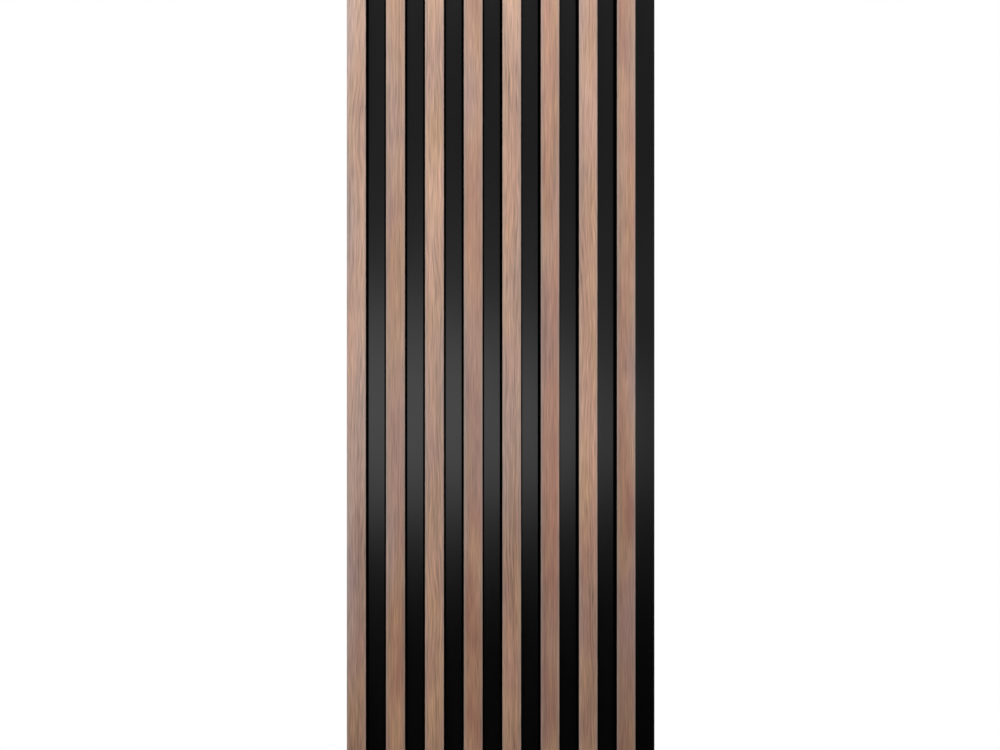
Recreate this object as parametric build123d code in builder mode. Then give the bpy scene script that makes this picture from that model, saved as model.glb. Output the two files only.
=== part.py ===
from build123d import *
import os

# Slat wall panel: a flat black backing board carries upright battens at an even pitch, each with
# a thin wood-decor strip glued on its front. The battens' sides spread towards the board. Every
# slat has an open channel on its right, so the panel ends in a channel and the first slat of a
# next panel would close it. That last channel is a little wider than the others.
#
# Frame: X runs across the panel, Y into the wall and Z up. The origin is the centre of the
# board's back face, so the whole panel stands on the -Y side of the wall.

# Driving dimensions, in millimetres
panel_width = 300.0
panel_length = 2400.0
board_thickness = 8.0
board_arris = 0.4
slat_count = 8
slat_width = 18.1
last_channel_extra = 2.0
side_spread = 2.0
batten_height = 9.2
face_thickness = 0.8
face_arris_radius = 0.5

# Places that follow from them
slat_pitch = (panel_width - last_channel_extra) / slat_count
panel_left = -panel_width / 2
panel_bottom = -panel_length / 2
board_front = -board_thickness
batten_front = board_front - batten_height

# Every piece is a constant section in the XY plane, carried up the whole length
section_plane = Plane.XY.offset(panel_bottom)

os.makedirs("parts", exist_ok=True)


# Backing board: its back lies on the wall, and its two front long edges are slightly broken
with BuildPart() as backing_board:
    with BuildSketch(section_plane):
        Rectangle(panel_width, board_thickness, align=(Align.CENTER, Align.MAX))
    extrude(amount=panel_length)
    front_long_edges = backing_board.edges().filter_by(Axis.Z).group_by(Axis.Y)[0]
    chamfer(front_long_edges, length=board_arris)

backing_board.part.label = "backing_board"
export_step(backing_board.part, "parts/backing_board.step")


for number in range(1, slat_count + 1):
    slat_left = panel_left + (number - 1) * slat_pitch
    slat_right = slat_left + slat_width

    # The first batten is cut square on its left, flush with the board's edge
    foot_left = slat_left if number == 1 else slat_left - side_spread
    foot_right = slat_right + side_spread

    # Batten: as wide as the strip at the front and wider at its foot, glued to the board's front
    with BuildPart() as slat_batten:
        with BuildSketch(section_plane):
            Polygon(
                (slat_left, batten_front),
                (slat_right, batten_front),
                (foot_right, board_front),
                (foot_left, board_front),
                align=None,
            )
        extrude(amount=panel_length)

    slat_batten.part.label = f"slat_batten_{number}"
    export_step(slat_batten.part, f"parts/slat_batten_{number}.step")

    # Wood-decor strip: as wide as the batten's front, with its own front long edges rolled over
    with BuildPart() as slat_face:
        with BuildSketch(section_plane):
            with Locations((slat_left, batten_front)):
                Rectangle(slat_width, face_thickness, align=(Align.MIN, Align.MAX))
        extrude(amount=panel_length)
        front_arrises = slat_face.edges().filter_by(Axis.Z).group_by(Axis.Y)[0]
        fillet(front_arrises, radius=face_arris_radius)

    slat_face.part.label = f"slat_face_{number}"
    export_step(slat_face.part, f"parts/slat_face_{number}.step")
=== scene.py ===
"""Looks of the slat wall panel: wood-decor strips on dull black battens, and a satin black board.

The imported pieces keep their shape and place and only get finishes. The script adds the studio round them.
Lengths are metres unless a comment says otherwise. X runs across the panel, Y into the wall and Z up.
"""

import math
from typing import NamedTuple

import bpy
import numpy as np
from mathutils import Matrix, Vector


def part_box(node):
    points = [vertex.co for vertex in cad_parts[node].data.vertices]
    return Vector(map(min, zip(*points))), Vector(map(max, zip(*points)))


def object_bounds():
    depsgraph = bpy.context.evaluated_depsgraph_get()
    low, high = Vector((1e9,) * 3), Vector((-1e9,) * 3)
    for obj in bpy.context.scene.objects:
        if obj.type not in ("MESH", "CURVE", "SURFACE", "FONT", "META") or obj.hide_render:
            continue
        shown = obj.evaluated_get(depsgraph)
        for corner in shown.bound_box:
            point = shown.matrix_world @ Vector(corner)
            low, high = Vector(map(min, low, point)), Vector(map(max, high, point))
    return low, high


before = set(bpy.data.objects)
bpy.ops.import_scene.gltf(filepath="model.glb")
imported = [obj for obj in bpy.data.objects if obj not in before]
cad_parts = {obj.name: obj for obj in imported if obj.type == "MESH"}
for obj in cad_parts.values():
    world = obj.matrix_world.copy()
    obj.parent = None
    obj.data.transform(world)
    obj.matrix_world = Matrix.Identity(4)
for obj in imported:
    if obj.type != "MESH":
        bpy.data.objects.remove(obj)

bl_info = {
    "name": "Slat Wall Panel Finishes",
    "version": (1, 0, 0),
    "blender": (4, 5, 0),
    "location": "View3D > Sidebar > Slat Panel",
    "description": "Gives the slat wall panel its wood decor and satin black film, and sets the studio",
    "category": "Material",
}

MM = 0.001

# Places read from the frame
PANEL_LOW, PANEL_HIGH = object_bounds()
BOARD_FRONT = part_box("backing_board")[0].y
FACE_LOW, FACE_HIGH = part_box("slat_face_1")
SLAT_HALF_WIDTH = (FACE_HIGH.x - FACE_LOW.x) / 2
SLAT_COUNT = sum(name.startswith("slat_face_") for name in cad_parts)

# How deep the look of a sawn end goes: it is whole down to the first depth and gone at the second
END_SKIN = (0.05 * MM, 0.1 * MM)

# How far behind the board's front its film ends: it is gone at the first depth and whole at the second
FILM_EDGE = (0.6 * MM, 0.5 * MM)

# Where the first strip lies in the noise, and how far on from it each next one lies
FIRST_SEED = 3.1
SEED_STEP = 17.3

# Heights over the panel's middle, in millimetres, of painted shade for the light that falls off lower
# down: the decor is painted deeper and darker from the first height of the first pair down to the
# second, and browner over the heights of the second pair
PAINTED_SHADE_HEIGHTS = (60.0, -300.0)
PAINTED_BROWN_HEIGHTS = (-190.0, -310.0)

# Each strip's dusky stretch, in millimetres up and down from its middle: where it ends, and where
# it is strongest
DUSK_REACH = 160.0
DUSK_CORE = 20.0

# How far the yellower stretches lean to ochre at most
OCHRE_SHARE = 0.6

# Width in millimetres of the greyer band along each arris, and how far its edge leans to grey
ARRIS_BAND = 4.0
ARRIS_SHARE = 0.36

# How much deeper behind the strip the trunk's heart lies with each millimetre up
HEART_SLOPE = 0.02

# The soft window in the room behind the camera: its middle and half its size, across and up, and how
# much it leans
WINDOW_CENTRE = (-0.45, -0.1)
WINDOW_REACH = (1.2, 0.4)
WINDOW_LEAN = -0.08

# In those half sizes from the window's middle: the pane is gone at the first distance of PANE_EDGE and
# whole at the second. Over PANE_HEIGHTS its light falls from PANE_LIGHT by PANE_FALL, both in shares of
# the window's glow.
PANE_EDGE = (1.0, 0.5)
PANE_HEIGHTS = (-0.2, 0.6)
PANE_LIGHT = 1.08
PANE_FALL = 0.17

# In the same measure: the haze comes up over HAZE_HEIGHTS. It is gone at the first distance of
# HAZE_EDGE and whole at the second.
HAZE_HEIGHTS = (0.5, 1.2)
HAZE_EDGE = (1.95, 1.35)

# The same room: dark below the first height and dim above the second
ROOM_HEIGHTS = (-0.65, -0.1)

# The screen that carries that room: its reach from the panel, its top, how far it lies over the
# floor, and how far it goes round to each side
SCREEN_INNER = 0.2
SCREEN_RADIUS = 1.75
SCREEN_TOP = 1.45
SCREEN_LIFT = 4 * MM
SCREEN_SPREAD = math.radians(85)

# The floor, and the distances from the panel between which it turns white
FLOOR_RADIUS = 2.3
FLOOR_FADE = (0.5, 2.0)

# The large soft lamp above the camera, and the lamp that lights the back
KEY_PLACE = (-0.3, -1.9, 3.2)
KEY_AIM = (0.0, 0.0, 0.9)
KEY_SIZE = (1.6, 1.0)
KEY_SPREAD = math.radians(70)
BACK_PLACE = (0.4, 2.4, 0.9)
BACK_AIM = (0.0, 0.0, 0.0)
BACK_SIZE = (2.0, 2.0)

# Width of the camera's picture, in millimetres
PICTURE_WIDTH = 36.0

WHITE = (1.0, 1.0, 1.0, 1.0)
BLACK = (0.0, 0.0, 0.0, 1.0)


class TimberBoard(NamedTuple):
    """One of the two boards that the strips are cut from.

    lane_seed is where its lanes lie in the noise. bend and wave are the widest swings of its fibres'
    slow bends and short waves, and wander that of its heart, in millimetres from side to side.
    streak_width is a share of the set width.
    """

    lane_seed: float
    brightness: float
    bend: float
    wave: float
    wander: float
    streak_width: float
    streak_contrast: float
    ring_contrast: float


class Strip(NamedTuple):
    """How one slat's strip is cut from its board.

    shade goes from 0, pale, to 1, deep, and cool is its share of the cool tint. The trunk's heart lies
    heart_side to the right of the strip's middle and heart_depth behind it. Its dusky stretch lies
    dusk_height over the panel's middle. These three are in millimetres. dusk is how strong it is.
    """

    board: TimberBoard
    shade: float
    cool: float
    heart_side: float
    heart_depth: float
    dusk_height: float
    dusk: float


PALER_BOARD = TimberBoard(
    lane_seed=40.7,
    brightness=1.05,
    bend=8.0,
    wave=5.0,
    wander=40.0,
    streak_width=0.85,
    streak_contrast=1.0,
    ring_contrast=0.48,
)
DARKER_BOARD = TimberBoard(
    lane_seed=9.2,
    brightness=1.01,
    bend=4.0,
    wave=2.5,
    wander=20.0,
    streak_width=1.0,
    streak_contrast=0.75,
    ring_contrast=0.16,
)

# The strips from left to right. They come by turns from the paler board, cut near the heart of its
# trunk, and from the darker one, cut far from it.
STRIPS = (
    Strip(PALER_BOARD, 0.34, 0.30, 26.0, 20.0, -240.0, 0.20),
    Strip(DARKER_BOARD, 0.68, 0.03, 62.0, 40.0, -40.0, 0.34),
    Strip(PALER_BOARD, 0.33, 0.06, -24.0, 24.0, -80.0, 0.20),
    Strip(DARKER_BOARD, 0.77, 0.07, -71.0, 36.0, -20.0, 0.34),
    Strip(PALER_BOARD, 0.37, 0.03, 22.0, 18.0, -80.0, 0.20),
    Strip(DARKER_BOARD, 0.78, 0.16, 83.0, 30.0, -270.0, 0.25),
    Strip(PALER_BOARD, 0.39, 0.00, -27.0, 26.0, -300.0, 0.12),
    Strip(DARKER_BOARD, 0.79, 0.08, -58.0, 42.0, -260.0, 0.42),
)


class Number:
    """A socket that carries one number, so that a finish is worked out in plain arithmetic."""

    def __init__(self, recipe, socket):
        self.recipe = recipe
        self.socket = socket

    def __add__(self, other):
        return self.recipe.maths("ADD", self, other)

    def __radd__(self, other):
        return self.recipe.maths("ADD", other, self)

    def __sub__(self, other):
        return self.recipe.maths("SUBTRACT", self, other)

    def __rsub__(self, other):
        return self.recipe.maths("SUBTRACT", other, self)

    def __mul__(self, other):
        return self.recipe.maths("MULTIPLY", self, other)

    def __rmul__(self, other):
        return self.recipe.maths("MULTIPLY", other, self)

    def __truediv__(self, other):
        return self.recipe.maths("DIVIDE", self, other)

    def __pow__(self, other):
        return self.recipe.maths("POWER", self, other)

    def __abs__(self):
        return self.recipe.maths("ABSOLUTE", self)


class Recipe:
    """The node tree of one material or of the world, and the few ways in which nodes are added to it."""

    def __init__(self, owner):
        owner.use_nodes = True
        self.owner = owner
        self.tree = owner.node_tree
        self.tree.nodes.clear()

    def node(self, kind, settings=None, sockets=None):
        """Adds a node of this kind, sets its settings, then gives its sockets values or links."""
        made = self.tree.nodes.new(kind)
        for name, value in (settings or {}).items():
            setattr(made, name, value)
        for name, value in (sockets or {}).items():
            if isinstance(value, Number):
                value = value.socket
            if isinstance(value, bpy.types.NodeSocket):
                self.tree.links.new(value, made.inputs[name])
            else:
                made.inputs[name].default_value = value
        return made

    def maths(self, operation, *values):
        """One Math node."""
        made = self.node("ShaderNodeMath", {"operation": operation}, dict(enumerate(values)))
        return Number(self, made.outputs[0])

    def step(self, value, start, end):
        """0 before start and 1 after end, with an eased way between them. End may be the smaller."""
        made = self.node(
            "ShaderNodeMapRange",
            {"interpolation_type": "SMOOTHSTEP"},
            {"Value": value, "From Min": start, "From Max": end},
        )
        return Number(self, made.outputs["Result"])

    def length(self, first, second):
        """The length of a flat vector with these two parts: the root of the sum of their squares."""
        return self.maths("SQRT", first * first + second * second)

    def place(self):
        """Object coordinates in metres, as three numbers."""
        where = self.node("ShaderNodeTexCoord").outputs["Object"]
        parts = self.node("ShaderNodeSeparateXYZ", None, {0: where}).outputs
        return [Number(self, part) for part in parts]

    def noise(self, x, y, z, detail):
        """Cloudy noise about 0, mostly within a quarter either way, one cloud to each unit of x, y and z."""
        where = self.node("ShaderNodeCombineXYZ", None, {0: x, 1: y, 2: z}).outputs[0]
        made = self.node(
            "ShaderNodeTexNoise",
            {"noise_dimensions": "3D"},
            {"Vector": where, "Scale": 1.0, "Detail": detail, "Roughness": 0.5},
        )
        return Number(self, made.outputs["Fac"]) - 0.5

    def clouds(self, place, across, deep, along, detail):
        """Noise at a place, in clouds of this size along X, Y and Z."""
        x, y, z = place
        return self.noise(x / across, y / deep, z / along, detail)

    def mix(self, first, second, share):
        """The first colour at share 0 and the second at share 1."""
        made = self.node(
            "ShaderNodeMix",
            {"data_type": "RGBA", "clamp_factor": True},
            {"Factor": share, 6: first, 7: second},
        )
        return made.outputs[2]

    def scaled(self, colour, number):
        """A colour made brighter or darker by a number."""
        made = self.node(
            "ShaderNodeMix",
            {"data_type": "RGBA", "clamp_factor": False},
            {"Factor": number, 6: BLACK, 7: colour},
        )
        return made.outputs[2]

    def glowing(self, colour, kind="ShaderNodeEmission"):
        """A shader that shows a colour as it is."""
        return self.node(kind, None, {"Color": colour, "Strength": 1.0}).outputs[0]

    def finish(self, colour, roughness, height, relief, gloss=0.5, coat=0.0, coat_roughness=0.0):
        """Ends a material in one Principled shader.

        relief is the depth of the height pattern in metres. gloss is 0.5 for lacquer and satin film, and 0
        for a dull one, which mirrors nothing. coat is how much clear lacquer lies over it, with a
        roughness of its own.
        """
        bump = self.node("ShaderNodeBump", None, {"Strength": 1.0, "Distance": relief, "Height": height})
        shader = self.node(
            "ShaderNodeBsdfPrincipled",
            None,
            {
                "Base Color": colour,
                "Roughness": roughness,
                "Specular IOR Level": gloss,
                "Coat Weight": coat,
                "Coat Roughness": coat_roughness,
                "Normal": bump.outputs[0],
            },
        )
        return self.end(shader.outputs[0])

    def end(self, shader, kind="ShaderNodeOutputMaterial"):
        """Ends the tree in this shader."""
        self.node(kind, None, {"Surface": shader})
        return self.owner


def opaque(colour):
    """A setting's three parts of colour, with the fourth that a colour socket wants."""
    return tuple(colour) + (1.0,)


class WoodDecorSettings(bpy.types.PropertyGroup):
    """The wood-decor strips on the slats."""

    pale: bpy.props.FloatVectorProperty(
        name="Pale wood",
        description="Colour of the palest wood in the decor",
        subtype="COLOR",
        min=0.0,
        max=1.0,
        default=(0.60, 0.373, 0.272),
    )
    deep: bpy.props.FloatVectorProperty(
        name="Deep wood",
        description="Colour of the deepest wood in the decor",
        subtype="COLOR",
        min=0.0,
        max=1.0,
        default=(0.375, 0.17, 0.115),
    )
    ochre: bpy.props.FloatVectorProperty(
        name="Ochre tint",
        description="Colour that the yellower stretches lean to",
        subtype="COLOR",
        min=0.0,
        max=1.0,
        default=(0.54, 0.325, 0.18),
    )
    mauve: bpy.props.FloatVectorProperty(
        name="Cool tint",
        description="Colour that the cooler stretches lean to",
        subtype="COLOR",
        min=0.0,
        max=1.0,
        default=(0.44, 0.325, 0.30),
    )
    dusk: bpy.props.FloatVectorProperty(
        name="Dusk",
        description="Colour that each strip's dusky stretch leans to",
        subtype="COLOR",
        min=0.0,
        max=1.0,
        default=(0.22, 0.15, 0.14),
    )
    arris: bpy.props.FloatVectorProperty(
        name="Arris",
        description="Colour that the strips' long edges lean to",
        subtype="COLOR",
        min=0.0,
        max=1.0,
        default=(0.40, 0.34, 0.31),
    )
    sawn: bpy.props.FloatVectorProperty(
        name="Sawn end",
        description="Colour of the strips' sawn ends",
        subtype="COLOR",
        min=0.0,
        max=1.0,
        default=(0.12, 0.07, 0.045),
    )
    ring_spacing: bpy.props.FloatProperty(
        name="Ring spacing",
        description="Distance between two growth rings of the trunk",
        unit="LENGTH",
        default=2.5 * MM,
    )
    streak_width: bpy.props.FloatProperty(
        name="Streak width",
        description="Width of the fine streaks that run along the slats",
        unit="LENGTH",
        default=1.2 * MM,
    )
    streak_length: bpy.props.FloatProperty(
        name="Streak length",
        description="Length of the fine streaks",
        unit="LENGTH",
        default=64 * MM,
    )
    roughness: bpy.props.FloatProperty(
        name="Roughness",
        description="Roughness of the decor under its lacquer",
        subtype="FACTOR",
        min=0.0,
        max=1.0,
        default=0.5,
    )
    lacquer: bpy.props.FloatProperty(
        name="Lacquer",
        description="How much clear satin lacquer lies over the decor",
        subtype="FACTOR",
        min=0.0,
        max=1.0,
        default=0.8,
    )
    lacquer_roughness: bpy.props.FloatProperty(
        name="Lacquer roughness",
        description="Roughness of that lacquer",
        subtype="FACTOR",
        min=0.0,
        max=1.0,
        default=0.26,
    )


class SatinBlackSettings(bpy.types.PropertyGroup):
    """The black film on board and battens, and the dyed fibreboard under it."""

    film: bpy.props.FloatVectorProperty(
        name="Film",
        description="Colour of the black film",
        subtype="COLOR",
        min=0.0,
        max=1.0,
        default=(0.0018, 0.0018, 0.0019),
    )
    core: bpy.props.FloatVectorProperty(
        name="Core",
        description="Colour of the dyed fibreboard on cut ends and on the back",
        subtype="COLOR",
        min=0.0,
        max=1.0,
        default=(0.022, 0.021, 0.020),
    )
    board_roughness: bpy.props.FloatProperty(
        name="Board roughness",
        description="Roughness of the satin film on the board's front",
        subtype="FACTOR",
        min=0.0,
        max=1.0,
        default=0.22,
    )
    batten_roughness: bpy.props.FloatProperty(
        name="Batten roughness",
        description="Roughness of the dull black on the battens' sides",
        subtype="FACTOR",
        min=0.0,
        max=1.0,
        default=0.75,
    )
    ripple: bpy.props.FloatProperty(
        name="Ripple size",
        description="Distance between the soft ripples in the film",
        unit="LENGTH",
        default=2.4 * MM,
    )


class StudioSettings(bpy.types.PropertyGroup):
    """The camera, the lamps and the room that the panel mirrors."""

    distance: bpy.props.FloatProperty(
        name="Camera distance",
        description="Distance from the camera to the slat faces",
        unit="LENGTH",
        default=0.928,
    )
    aside: bpy.props.FloatProperty(
        name="Camera aside",
        description="How far left of the panel's middle the camera stands",
        unit="LENGTH",
        default=0.065,
    )
    turn: bpy.props.FloatProperty(
        name="Camera turn",
        description="How far the camera is turned to the right",
        subtype="ANGLE",
        default=math.radians(3.8),
    )
    lens: bpy.props.FloatProperty(
        name="Lens",
        description="Focal length for a picture 36 mm wide",
        unit="CAMERA",
        default=34.7,
    )
    key_power: bpy.props.FloatProperty(
        name="Key power",
        description="Power of the large soft lamp above the camera",
        unit="POWER",
        default=34.2,
    )
    back_power: bpy.props.FloatProperty(
        name="Back power",
        description="Power of the lamp that lights the panel's back",
        unit="POWER",
        default=60.0,
    )
    ambient: bpy.props.FloatProperty(
        name="Ambient",
        description="Strength of the plain light from all round",
        default=0.06,
    )
    window_glow: bpy.props.FloatProperty(
        name="Window glow",
        description="Brightness of the soft window that the black channels mirror",
        default=1.55,
    )
    haze_glow: bpy.props.FloatProperty(
        name="Haze glow",
        description="Brightness of the faint haze above that window, in mirrored light",
        default=0.15,
    )
    room_glow: bpy.props.FloatProperty(
        name="Room glow",
        description="Brightness of the dim room round that window, in mirrored light",
        default=0.2,
    )


def between_ends(recipe, z):
    """1 all along the panel, and 0 on its two sawn ends."""
    return recipe.step(abs(z), PANEL_HIGH.z - END_SKIN[0], PANEL_HIGH.z - END_SKIN[1])


def cut_core(recipe, settings, place):
    """Colour, roughness and height of sanded fibreboard.

    Pressed fibres show as flecks and small clouds. The belt leaves long faint marks along the panel, and
    the dye is a little uneven over a hand's width.
    """
    flecks = recipe.clouds(place, across=0.5 * MM, deep=0.5 * MM, along=0.5 * MM, detail=4.0)
    clouds = recipe.clouds(place, across=9 * MM, deep=9 * MM, along=9 * MM, detail=3.0)
    marks = recipe.clouds(place, across=1.6 * MM, deep=9 * MM, along=260 * MM, detail=3.0)
    dye = recipe.clouds(place, across=70 * MM, deep=70 * MM, along=190 * MM, detail=3.0)
    light = 1 + 1.6 * flecks + 0.9 * clouds + 0.8 * marks + 1.3 * dye
    return recipe.scaled(opaque(settings.core), light), 0.78 + 0.2 * flecks, flecks


def black_finish(name, settings, film_faces, film_base_roughness, gloss):
    """Black film on the faces that film_faces picks, and dyed fibreboard elsewhere.

    film_faces takes the recipe and the place and gives 1 on film and 0 on fibreboard. The film's
    height is soft clouds a few millimetres apart, which only bend its reflections a little.
    """
    recipe = Recipe(bpy.data.materials.new(name))
    place = recipe.place()
    film = film_faces(recipe, *place)
    size = settings.ripple
    ripple = recipe.clouds(place, across=size, deep=size, along=2 * size, detail=1.0)
    smear = recipe.clouds(place, across=30 * MM, deep=30 * MM, along=120 * MM, detail=2.0)
    core_colour, core_roughness, flecks = cut_core(recipe, settings, place)
    film_colour = recipe.scaled(opaque(settings.film), 1 + 0.4 * smear)
    colour = recipe.mix(core_colour, film_colour, film)
    film_roughness = film_base_roughness + 0.06 * smear
    roughness = core_roughness + film * (film_roughness - core_roughness)
    height = flecks + film * (0.12 * ripple - flecks)
    return recipe.finish(colour, roughness, height, relief=0.05 * MM, gloss=gloss)


def board_film(recipe, x, y, z):
    """Film lies on the board's front only. Its back and its sawn edges are bare."""
    front = recipe.step(y, BOARD_FRONT + FILM_EDGE[0], BOARD_FRONT + FILM_EDGE[1])
    return front * between_ends(recipe, z)


def batten_film(recipe, x, y, z):
    """Film lies all round a batten, apart from its sawn ends."""
    return between_ends(recipe, z)


def figure(recipe, across, along, seed, width, length, detail):
    """Noise drawn out along the slat, in clouds of this width and length in millimetres."""
    return recipe.noise(across / width, seed, along / length, detail)


def fibre_course(recipe, board, across, along, seed):
    """Where a point's fibres run across the strip: its own place, pushed aside by bends and waves."""
    bend = recipe.noise(seed, 0.0, along / 130, detail=1.0)
    wave = figure(recipe, across, along, seed, width=12, length=60, detail=2.0)
    return across + board.bend * bend + board.wave * wave


def growth_lines(recipe, strip, spacing, course, along, seed):
    """1 on the dark line that ends each growth ring, and less the further from it, down to 0.

    A point's ring is its distance from the trunk's heart divided by the ring spacing. The heart runs
    nearly along the slat and wanders aside, so the lines sway, most on the strips cut near it.
    """
    wander = recipe.noise(0.0, seed, along / 300, detail=1.0)
    side = course - strip.heart_side - strip.board.wander * wander
    depth = strip.heart_depth + HEART_SLOPE * along
    ring = recipe.length(side, depth) / spacing
    return abs(2 * recipe.maths("FRACT", ring) - 1) ** 4


def decor_tint(recipe, settings, strip, across, along, seed, band, foot):
    """The decor's colour before its fine figure.

    It lies between the pale and the deep wood, by the strip's own shade and a slow drift. Ochre and
    mauve drift over it, and the strip's dusky stretch dims it. Low down, painted shade for the light
    that falls off there makes it deeper and browner, with less mauve.
    """
    drift = figure(recipe, across, along, seed + 7, width=24, length=150, detail=2.0)
    warm = figure(recipe, across, along, seed + 11, width=16, length=70, detail=1.0)
    cool = figure(recipe, across, along, seed + 15, width=22, length=170, detail=1.0)
    # Painted shade: this grows low down and turns the wood browner there, for the light that falls off
    painted_shade_brown = recipe.step(along, *PAINTED_BROWN_HEIGHTS)
    dusk = strip.dusk * recipe.step(abs(along - strip.dusk_height), DUSK_REACH, DUSK_CORE)

    # Each weight says how far that part moves the shade or the tint. The weight on foot is painted
    # shade, which deepens the wood low down.
    shade = strip.shade + 0.5 * drift + 0.25 * band + 0.27 * foot
    colour = recipe.mix(opaque(settings.pale), opaque(settings.deep), shade)
    ochre = recipe.mix(colour, opaque(settings.ochre), OCHRE_SHARE)
    colour = recipe.mix(colour, ochre, 0.4 + 2.9 * warm + 0.2 * painted_shade_brown)
    colour = recipe.mix(colour, opaque(settings.mauve), strip.cool + 1.5 * cool - 0.35 * painted_shade_brown)
    return recipe.mix(colour, opaque(settings.dusk), dusk)


def wood_decor(name, settings, centre, strip, seed):
    """Wood decor under satin lacquer for one slat's strip, whose middle is at x = centre.

    The fine figure is the growth rings' lines, and streaks, finer hairs and wider bands along the
    fibres. Lanes run nearly straight from end to end, and slow glows make stretches lighter or darker.
    Towards the panel's foot the wood is painted darker and deeper, as painted shade for the light that
    falls off there. The strip's long edges are greyer, and its sawn ends are bare. The seed is the
    strip's place in the noise, and what is added to it sets one kind of figure apart from another.
    """
    recipe = Recipe(bpy.data.materials.new(name))
    board = strip.board

    # Millimetres across from the strip's middle, along from the panel's, and across on the fibres' course
    x, y, z = recipe.place()
    across = (x - centre) / MM
    along = z / MM
    course = fibre_course(recipe, board, across, along, seed)

    width = board.streak_width * settings.streak_width / MM
    length = settings.streak_length / MM
    streak = figure(recipe, course, along, seed, width, length, detail=0.0)
    hair = figure(recipe, course, along, seed + 3, 0.5 * width, 0.32 * length, detail=0.0)
    band = figure(recipe, course, along, seed + 9, 2.4 * width, 2.5 * length, detail=1.0)
    line = growth_lines(recipe, strip, settings.ring_spacing / MM, course, along, seed)
    line_strength = 0.5 + 2.2 * figure(recipe, across, along, seed + 5, width=14, length=90, detail=1.0)

    straighter = across + 0.3 * (course - across)
    lane = figure(recipe, straighter, along, board.lane_seed, width=4, length=1500, detail=1.0)
    glow = figure(recipe, across, along, seed + 13, width=24, length=150, detail=1.0)
    # Painted shade: foot grows towards the panel's foot and makes the wood darker and deeper there, for the
    # light that falls off lower down
    foot = recipe.step(along, *PAINTED_SHADE_HEIGHTS)

    # Each weight says how much that part of the figure lightens or darkens the wood. The weight on
    # foot is painted shade, which darkens the wood low down.
    streaks = board.streak_contrast * (0.42 * streak + 0.95 * hair + 0.22 * band)
    fine = streaks - board.ring_contrast * line_strength * line
    light = board.brightness + fine + 0.42 * lane + 0.75 * glow - 0.075 * foot
    tint = decor_tint(recipe, settings, strip, across, along, seed, band, foot)
    colour = recipe.scaled(tint, light)
    edge = recipe.step(abs(across), SLAT_HALF_WIDTH / MM - ARRIS_BAND, SLAT_HALF_WIDTH / MM)
    colour = recipe.mix(colour, opaque(settings.arris), ARRIS_SHARE * edge)
    colour = recipe.mix(opaque(settings.sawn), colour, between_ends(recipe, z))

    return recipe.finish(
        colour,
        roughness=settings.roughness - 0.12 * streak - 0.1 * hair,
        height=0.5 * streak + 0.5 * hair - 0.3 * line,
        relief=0.04 * MM,
        coat=settings.lacquer,
        coat_roughness=settings.lacquer_roughness,
    )


def dress(node, material):
    """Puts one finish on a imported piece."""
    for slot in node.material_slots:
        slot.material = material


class PANEL_OT_finish_board(bpy.types.Operator):
    """Give the backing board its satin black film, with bare fibreboard on its back and edges"""

    bl_idname = "slat_panel.finish_board"
    bl_label = "Finish Backing Board"

    def execute(self, context):
        settings = context.scene.slat_panel_black
        film = black_finish("board_film", settings, board_film, settings.board_roughness, gloss=0.5)
        dress(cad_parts["backing_board"], film)
        return {"FINISHED"}


class PANEL_OT_finish_battens(bpy.types.Operator):
    """Give the battens their dull black film, with bare fibreboard on their sawn ends"""

    bl_idname = "slat_panel.finish_battens"
    bl_label = "Finish Battens"

    def execute(self, context):
        settings = context.scene.slat_panel_black
        film = black_finish("batten_film", settings, batten_film, settings.batten_roughness, gloss=0.0)
        for number in range(1, SLAT_COUNT + 1):
            dress(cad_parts[f"slat_batten_{number}"], film)
        return {"FINISHED"}


class PANEL_OT_finish_faces(bpy.types.Operator):
    """Give each slat's face its own cut of the wood decor"""

    bl_idname = "slat_panel.finish_faces"
    bl_label = "Finish Slat Faces"

    def execute(self, context):
        settings = context.scene.slat_panel_wood
        for index in range(SLAT_COUNT):
            name = f"slat_face_{index + 1}"
            low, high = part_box(name)
            centre = (low.x + high.x) / 2
            seed = SEED_STEP * index + FIRST_SEED
            decor = wood_decor(f"wood_decor_{index + 1}", settings, centre, STRIPS[index], seed)
            dress(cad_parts[name], decor)
        return {"FINISHED"}


def grid_mesh(name, points):
    """A mesh of four-sided faces over a grid of points, given as an array of rows, columns and XYZ."""
    rows, columns = points.shape[:2]
    corner = np.arange(rows * columns).reshape(rows, columns)
    faces = np.stack(
        [corner[:-1, :-1], corner[:-1, 1:], corner[1:, 1:], corner[1:, :-1]], axis=-1
    ).reshape(-1, 4)
    mesh = bpy.data.meshes.new(name)
    mesh.from_pydata(points.reshape(-1, 3).tolist(), [], faces.tolist())
    mesh.update()
    made = bpy.data.objects.new(name, mesh)
    bpy.context.scene.collection.objects.link(made)
    return made


def floor_surface(height, radius, rings=24, spokes=97):
    """Round floor: each reach from the middle, times the cosine and sine of the angle, at this height.

    The smallest reach is 1 mm, a pinhole at the foot of the panel.
    """
    reach, angle = np.meshgrid(
        np.linspace(1 * MM, radius, rings), np.linspace(0, 2 * math.pi, spokes), indexing="ij"
    )
    return np.stack([reach * np.cos(angle), reach * np.sin(angle), np.full_like(reach, height)], axis=-1)


def screen_surface(inner, radius, low, high, spread, flat_rows=9, upright_rows=13, columns=49):
    """Screen bent round the panel: flat from the inner reach out to this radius, then upright.

    Its profile runs along the floor and then up, and is turned by this spread each way from -Y.
    """
    reach = np.concatenate([np.linspace(inner, radius, flat_rows), np.full(upright_rows, radius)])
    rise = np.linspace(low, high, upright_rows + 1)[1:]
    height = np.concatenate([np.full(flat_rows, low), rise])
    angle = np.linspace(-spread, spread, columns)
    across = reach[:, None] * np.sin(angle)
    forward = -reach[:, None] * np.cos(angle)
    return np.stack([across, forward, np.repeat(height[:, None], columns, axis=1)], axis=-1)


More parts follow.
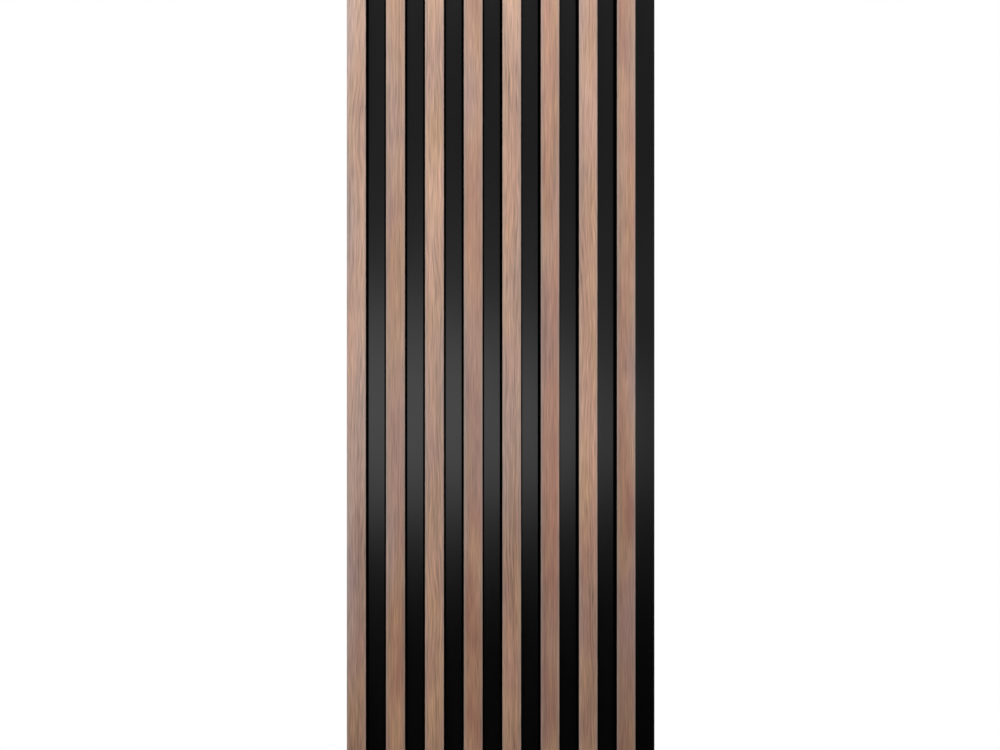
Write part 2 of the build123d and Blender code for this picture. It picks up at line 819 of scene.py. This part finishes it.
def seen_white(recipe):
    """1 for the rays that show the background: those of the camera, of reflections and through glass."""
    path = recipe.node("ShaderNodeLightPath").outputs
    shown = [Number(recipe, path[f"Is {kind} Ray"]) for kind in ("Camera", "Glossy", "Transmission")]
    return recipe.maths("MINIMUM", shown[0] + shown[1] + shown[2], 1.0)


def floor_finish():
    """Pale matt floor that turns into the white background some way from the panel."""
    recipe = Recipe(bpy.data.materials.new("studio_floor"))
    place = recipe.place()
    x, y, z = place
    grain = recipe.clouds(place, across=40 * MM, deep=40 * MM, along=1.0, detail=3.0)
    pale = recipe.scaled((0.8, 0.8, 0.8, 1.0), 1 + 0.05 * grain)
    matt = recipe.node("ShaderNodeBsdfPrincipled", None, {"Base Color": pale, "Roughness": 0.9})
    white = recipe.glowing(WHITE)
    share = seen_white(recipe) * recipe.step(recipe.length(x, y), *FLOOR_FADE)
    both = recipe.node("ShaderNodeMixShader", None, {0: share, 1: matt.outputs[0], 2: white})
    return recipe.end(both.outputs[0])


def screen_finish(settings):
    """The room behind the camera, as reflections show it: dark low down, dim higher up, and one window.

    The window is a wide soft ellipse that leans a little to the left. Its pane is brightest low down,
    and a faint haze stands above it.
    """
    recipe = Recipe(bpy.data.materials.new("dim_room"))
    x, y, z = recipe.place()
    aside = (x - WINDOW_CENTRE[0]) / WINDOW_REACH[0]
    above = (z - WINDOW_CENTRE[1] - WINDOW_LEAN * x) / WINDOW_REACH[1]
    away = recipe.length(aside, above)
    pane = (PANE_LIGHT - PANE_FALL * recipe.step(above, *PANE_HEIGHTS)) * recipe.step(away, *PANE_EDGE)
    haze = recipe.step(above, *HAZE_HEIGHTS) * recipe.step(away, *HAZE_EDGE)
    room = settings.room_glow * recipe.step(z, *ROOM_HEIGHTS)
    light = room + settings.window_glow * pane + settings.haze_glow * haze
    return recipe.end(recipe.glowing(recipe.scaled(WHITE, light)))


def soft_lamp(name, place, aim, size, power):
    """A rectangular lamp at a place, turned towards a point."""
    light = bpy.data.lights.new(name, "AREA")
    light.shape = "RECTANGLE"
    light.size, light.size_y = size
    light.energy = power
    made = bpy.data.objects.new(name, light)
    made.location = place
    made.rotation_euler = (Vector(aim) - Vector(place)).to_track_quat("-Z", "Y").to_euler()
    made.visible_camera = False
    bpy.context.scene.collection.objects.link(made)
    return made


def set_world(ambient):
    """White to the camera and to reflections, and a plain weak light to everything else."""
    world = bpy.data.worlds.new("studio_world")
    bpy.context.scene.world = world
    recipe = Recipe(world)
    weak = recipe.glowing((ambient, ambient, ambient, 1.0), "ShaderNodeBackground")
    white = recipe.glowing(WHITE, "ShaderNodeBackground")
    both = recipe.node("ShaderNodeMixShader", None, {0: seen_white(recipe), 1: weak, 2: white})
    recipe.end(both.outputs[0], "ShaderNodeOutputWorld")


def set_camera(settings):
    """The camera before the panel's middle, a little to the left and turned to the right."""
    lens = bpy.data.cameras.new("camera")
    lens.lens = settings.lens
    lens.sensor_width = PICTURE_WIDTH
    camera = bpy.data.objects.new("camera", lens)
    camera.location = (-settings.aside, PANEL_LOW.y - settings.distance, 0.0)
    camera.rotation_euler = (math.radians(90), 0.0, -settings.turn)
    bpy.context.scene.collection.objects.link(camera)
    bpy.context.scene.camera = camera


class PANEL_OT_set_stage(bpy.types.Operator):
    """Set the floor, the white surroundings, the lamps and the camera"""

    bl_idname = "slat_panel.set_stage"
    bl_label = "Set Studio Stage"

    def execute(self, context):
        settings = context.scene.slat_panel_studio
        floor = grid_mesh("studio_floor", floor_surface(PANEL_LOW.z, FLOOR_RADIUS))
        floor.data.materials.append(floor_finish())
        screen_low = PANEL_LOW.z + SCREEN_LIFT
        screen_points = screen_surface(SCREEN_INNER, SCREEN_RADIUS, screen_low, SCREEN_TOP, SCREEN_SPREAD)
        screen = grid_mesh("dim_room", screen_points)
        screen.data.materials.append(screen_finish(settings))
        screen.visible_camera = False
        screen.visible_diffuse = False
        screen.visible_shadow = False
        screen.visible_transmission = False

        key = soft_lamp("key_lamp", KEY_PLACE, KEY_AIM, KEY_SIZE, settings.key_power)
        key.data.spread = KEY_SPREAD
        soft_lamp("back_lamp", BACK_PLACE, BACK_AIM, BACK_SIZE, settings.back_power)
        set_world(settings.ambient)
        set_camera(settings)
        context.scene.view_settings.view_transform = "Standard"
        return {"FINISHED"}


STEPS = (
    PANEL_OT_set_stage,
    PANEL_OT_finish_board,
    PANEL_OT_finish_battens,
    PANEL_OT_finish_faces,
)
SETTINGS = {
    "slat_panel_wood": WoodDecorSettings,
    "slat_panel_black": SatinBlackSettings,
    "slat_panel_studio": StudioSettings,
}


class PANEL_PT_slat_panel(bpy.types.Panel):
    """Lists the steps and their settings"""

    bl_idname = "PANEL_PT_slat_panel"
    bl_label = "Slat Wall Panel"
    bl_space_type = "VIEW_3D"
    bl_region_type = "UI"
    bl_category = "Slat Panel"

    def draw(self, context):
        for step in STEPS:
            self.layout.operator(step.bl_idname)
        for name in SETTINGS:
            group = getattr(context.scene, name)
            box = self.layout.box()
            for item in group.bl_rna.properties:
                if item.identifier not in ("rna_type", "name"):
                    box.prop(group, item.identifier)


def register():
    for group in (*SETTINGS.values(), *STEPS, PANEL_PT_slat_panel):
        bpy.utils.register_class(group)
    for name, group in SETTINGS.items():
        setattr(bpy.types.Scene, name, bpy.props.PointerProperty(type=group))


def unregister():
    for name in SETTINGS:
        delattr(bpy.types.Scene, name)
    for group in (PANEL_PT_slat_panel, *STEPS, *SETTINGS.values()):
        bpy.utils.unregister_class(group)


def main():
    register()
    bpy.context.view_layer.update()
    for step in STEPS:
        area, name = step.bl_idname.split(".")
        getattr(getattr(bpy.ops, area), name)()


if __name__ == "__main__":
    main()
